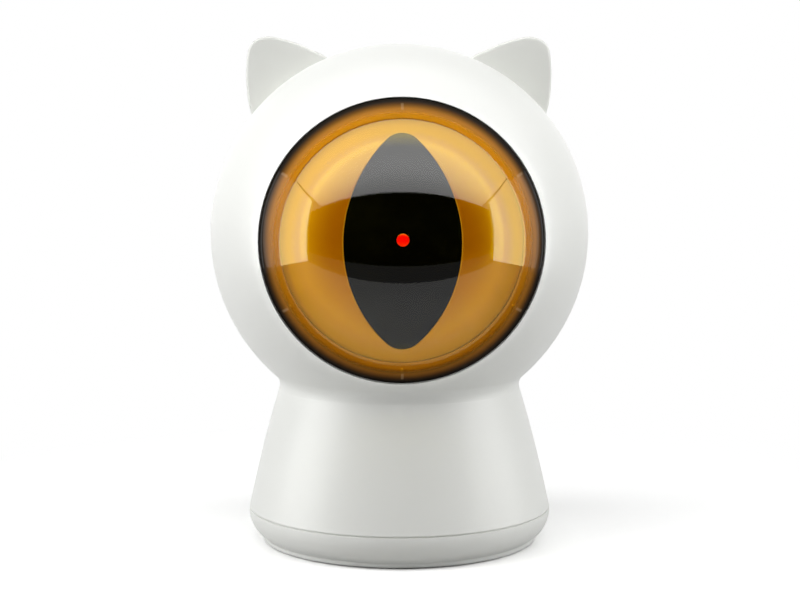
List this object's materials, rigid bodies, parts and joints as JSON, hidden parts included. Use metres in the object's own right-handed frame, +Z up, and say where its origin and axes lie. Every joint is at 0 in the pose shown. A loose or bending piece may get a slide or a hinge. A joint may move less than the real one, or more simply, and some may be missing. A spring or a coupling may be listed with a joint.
{
  "type": "automatic cat laser toy",
  "caption": "Round-headed cat toy on a flared base, with pointed ears and a gold slit-pupil eye behind an amber dome that turns in pan and tilt to aim a red dot.",
  "frame": {"origin": "centre of the rubber foot pad on the table", "axes": "+Z up; the eye looks along -Y; +X is to the right of someone who faces the eye"},
  "size_m": [0.081, 0.0838, 0.1087],
  "materials": {
    "shell_white": "fine satin texture",
    "ear_plastic": "soft satin",
    "clear_amber": "clear tinted polycarbonate",
    "bezel_black": "satin black",
    "iris_gold": "gold metallic lacquer",
    "pupil_black": "polished black",
    "lens_red": "clear red, glowing",
    "brass": "turned",
    "steel": "plated",
    "frame_plastic": "moulded",
    "gear_plastic": "acetal",
    "board_green": "solder mask",
    "chip_black": "moulded",
    "tray_plastic": "moulded",
    "cell_wrap": "plain sleeve",
    "button_plastic": "satin",
    "foot_rubber": "soft"
  },
  "bodies": {
    "housing": {"front_shell": "shell_white", "rear_shell": "shell_white", "left_ear": "ear_plastic", "right_ear": "ear_plastic", "ear_screws": "steel", "shell_screws": "steel", "eye_dome": "clear_amber", "eye_bezel": "bezel_black", "pan_bush": "brass", "pan_motor": "steel", "pan_screws": "steel", "chassis": "frame_plastic", "chassis_screws": "steel", "main_board": "board_green", "board_chips": "chip_black", "board_screws": "steel", "usb_socket": "steel", "switch_board": "board_green", "switch_screws": "steel", "button_switch": "chip_black", "battery_tray": "tray_plastic", "battery_cells": "cell_wrap", "battery_contacts": "steel"},
    "pan_frame": {"pan_yoke": "frame_plastic", "pan_gear": "gear_plastic", "pan_clip": "steel", "tilt_motor": "steel", "tilt_screws": "steel"},
    "eye": {"tilt_cradle": "frame_plastic", "tilt_gear": "gear_plastic", "iris_shell": "iris_gold", "pupil_window": "pupil_black", "laser_lens": "lens_red", "laser_barrel": "brass", "laser_board": "board_green"},
    "pan_drive": {"pan_pinion": "brass"},
    "tilt_drive": {"tilt_pinion": "brass"},
    "button": {"power_button": "button_plastic", "switch_plunger": "gear_plastic"},
    "cap": {"bottom_cap": "shell_white", "rubber_feet": "foot_rubber"}
  },
  "joints": [
    {"name": "pan", "type": "hinge", "parent": "housing", "child": "pan_frame", "pos_m": [0, -0.008, 0.0662], "axis": [0, 0, 1], "range_deg": [-25, 25]},
    {"name": "tilt", "type": "hinge", "parent": "pan_frame", "child": "eye", "pos_m": [0, -0.008, 0.0662], "axis": [1, 0, 0], "range_deg": [-12, 22]},
    {"name": "pan_drive_spin", "type": "hinge", "parent": "housing", "child": "pan_drive", "pos_m": [0, 0.0064, 0.036], "axis": [0, 0, 1], "range_deg": [-80, 80]},
    {"name": "tilt_drive_spin", "type": "hinge", "parent": "pan_frame", "child": "tilt_drive", "pos_m": [0.0186, 0.0052, 0.0662], "axis": [1, 0, 0], "range_deg": [-60, 60]},
    {"name": "button_press", "type": "slide", "parent": "housing", "child": "button", "axis": [-0.2756, -0.9613, 0], "range_m": [0, 0.0006], "stiffness_N_per_m": 600, "springref_m": -0.0008},
    {"name": "cap_turn", "type": "hinge", "parent": "housing", "child": "cap", "pos_m": [0, 0, 0.003], "axis": [0, 0, 1], "range_deg": [0, 22]}
  ],
  "couplings": [
    {"joint": "pan_drive_spin", "follows": "pan", "ratio": -3},
    {"joint": "tilt_drive_spin", "follows": "tilt", "ratio": -2.6667}
  ]
}
